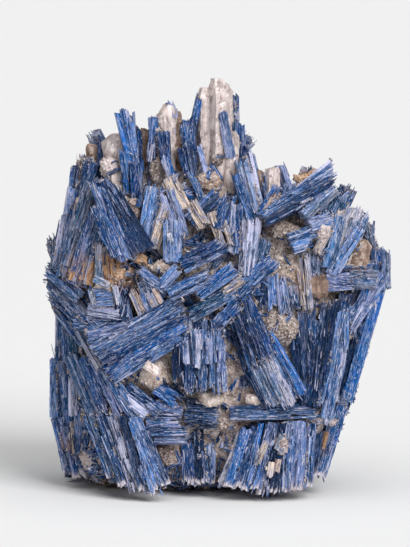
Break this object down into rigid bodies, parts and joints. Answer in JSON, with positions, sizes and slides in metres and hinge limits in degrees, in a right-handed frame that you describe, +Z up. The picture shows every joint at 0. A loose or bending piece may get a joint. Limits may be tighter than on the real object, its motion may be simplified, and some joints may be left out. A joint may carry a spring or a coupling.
{
  "type": "kyanite mineral specimen",
  "caption": "Standing cluster of flat blue kyanite blades grown together with quartz crystals and rusty matrix, resting on a flat cut base.",
  "frame": {"origin": "middle of the flat cut base, on the surface that the specimen stands on", "axes": "+Z up, -Y towards the viewer of the picture, +X to that viewer's right"},
  "size_m": [0.1752, 0.1063, 0.2061],
  "materials": {
    "kyanite": "pearly to glassy, striated",
    "quartz": "clear to frosted",
    "matrix": "dull, granular"
  },
  "bodies": {
    "root": {"kyanite_cluster": "kyanite"}
  },
  "joints": []
}
